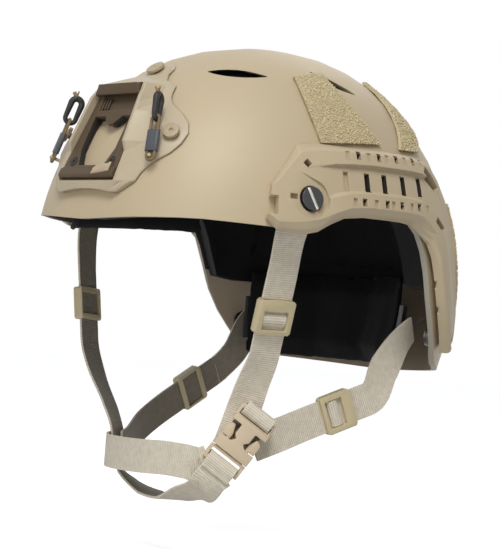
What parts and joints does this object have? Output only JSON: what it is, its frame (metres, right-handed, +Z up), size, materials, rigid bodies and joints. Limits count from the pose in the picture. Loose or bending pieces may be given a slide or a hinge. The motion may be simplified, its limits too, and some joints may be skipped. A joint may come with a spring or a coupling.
{
  "type": "combat helmet",
  "caption": "High-cut combat helmet shell with side accessory rails, front mounting shroud, inner pads, fit dial and buckled chin strap.",
  "frame": {"origin": "on the centre plane at the height of the front brim, about the middle of the wearer's head from front to back", "axes": "+Z up to the crown, -Y to the front, +X to the wearer's left, where the buckle is"},
  "size_m": [0.229, 0.273, 0.2785],
  "materials": {
    "shell_paint": "satin sand paint over a moulded composite wall",
    "liner_foam": "dark expanded foam",
    "pad_fabric": "dark brushed knit over foam",
    "dark_plastic": "black moulded plastic",
    "lace": "black braided lace",
    "loop_pile": "khaki loop pile",
    "rail_plastic": "satin sand moulded plastic",
    "dark_steel": "dark coated steel",
    "sand_steel": "sand painted steel",
    "base_plastic": "satin sand moulded plastic",
    "earth_metal": "earth brown anodised metal, worn at the edges",
    "bungee_cord": "braided elastic cord",
    "sleeve_rubber": "blue-grey rubber",
    "hook_plastic": "black coated wire",
    "webbing": "woven grey-sand webbing",
    "slider_plastic": "pale sand moulded plastic",
    "buckle_plastic": "pinkish sand moulded plastic"
  },
  "bodies": {
    "helmet": {"shell": "shell_paint", "impact_liner": "liner_foam", "brow_pad": "pad_fabric", "side_pad_left": "pad_fabric", "side_pad_right": "pad_fabric", "rear_pad": "pad_fabric", "crown_pad": "pad_fabric", "nape_pad": "pad_fabric", "fit_band": "dark_plastic", "band_hangers": "dark_plastic", "dial_housing": "dark_plastic", "fit_laces": "lace", "loop_patch_left": "loop_pile", "loop_patch_right": "loop_pile", "loop_patch_rear_left": "loop_pile", "loop_patch_rear_right": "loop_pile", "loop_patch_nape": "loop_pile", "rail_left": "rail_plastic", "rail_right": "rail_plastic", "front_bolts": "dark_steel", "anchor_nuts": "dark_steel", "rear_bolts": "sand_steel", "shroud_base": "base_plastic", "shroud_frame": "earth_metal", "shroud_screws": "sand_steel", "frame_screws": "earth_metal", "front_strap_left": "webbing", "front_strap_right": "webbing", "rear_strap_left": "webbing", "rear_strap_right": "webbing", "chin_band_upper": "webbing", "chin_band_lower": "webbing", "buckle_loop": "webbing", "chin_loop": "webbing", "buckle_female": "buckle_plastic", "buckle_male": "buckle_plastic"},
    "dial": {"dial_knob": "dark_plastic"},
    "front_slider_left": {"front_slider_left": "slider_plastic", "front_turn_left": "webbing"},
    "front_slider_right": {"front_slider_right": "slider_plastic", "front_turn_right": "webbing"},
    "rear_slider_left": {"rear_slider_left": "slider_plastic", "rear_turn_left": "webbing"},
    "rear_slider_right": {"rear_slider_right": "slider_plastic", "rear_turn_right": "webbing"},
    "prong_front": {"prong_front": "buckle_plastic"},
    "prong_rear": {"prong_rear": "buckle_plastic"},
    "lanyard_left": {"lanyard_cord_left": "bungee_cord", "lanyard_sleeve_left": "sleeve_rubber", "lanyard_hook_left": "hook_plastic"},
    "lanyard_right": {"lanyard_cord_right": "bungee_cord", "lanyard_sleeve_right": "sleeve_rubber", "lanyard_hook_right": "hook_plastic"}
  },
  "joints": [
    {"name": "dial_turn", "type": "hinge", "parent": "helmet", "child": "dial", "pos_m": [0, 0.10697, -0.054], "axis": [0, 1, 0], "continuous": true},
    {"name": "front_left_adjust", "type": "slide", "parent": "helmet", "child": "front_slider_left", "axis": [-0.2641, 0.0562, -0.9628], "range_m": [-0.006, 0.006]},
    {"name": "front_right_adjust", "type": "slide", "parent": "helmet", "child": "front_slider_right", "axis": [0.1644, 0.0164, -0.9863], "range_m": [-0.006, 0.006]},
    {"name": "rear_left_adjust", "type": "slide", "parent": "helmet", "child": "rear_slider_left", "axis": [-0.2529, -0.8901, -0.3793], "range_m": [-0.006, 0.006]},
    {"name": "rear_right_adjust", "type": "slide", "parent": "helmet", "child": "rear_slider_right", "axis": [0.0154, -0.8614, -0.5076], "range_m": [-0.006, 0.006]},
    {"name": "prong_front_press", "type": "hinge", "parent": "helmet", "child": "prong_front", "pos_m": [0.05625, -0.05427, -0.12999], "axis": [0.7996, -0.6005, -0.001], "range_deg": [-8, 0], "stiffness_Nm_per_rad": 0.2},
    {"name": "prong_rear_press", "type": "hinge", "parent": "helmet", "child": "prong_rear", "pos_m": [0.06283, -0.0455, -0.13735], "axis": [0.7996, -0.6005, -0.001], "range_deg": [0, 8], "stiffness_Nm_per_rad": 0.2},
    {"name": "lanyard_left_swing", "type": "hinge", "parent": "helmet", "child": "lanyard_left", "pos_m": [0.046, -0.11604, 0.031], "axis": [0.3822, -0.8705, 0.31], "range_deg": [-4, 10]},
    {"name": "lanyard_right_swing", "type": "hinge", "parent": "helmet", "child": "lanyard_right", "pos_m": [-0.046, -0.11604, 0.031], "axis": [0.3822, 0.8705, -0.31], "range_deg": [-4, 10]}
  ],
  "couplings": [
    {"joint": "prong_rear_press", "follows": "prong_front_press", "ratio": -1}
  ]
}
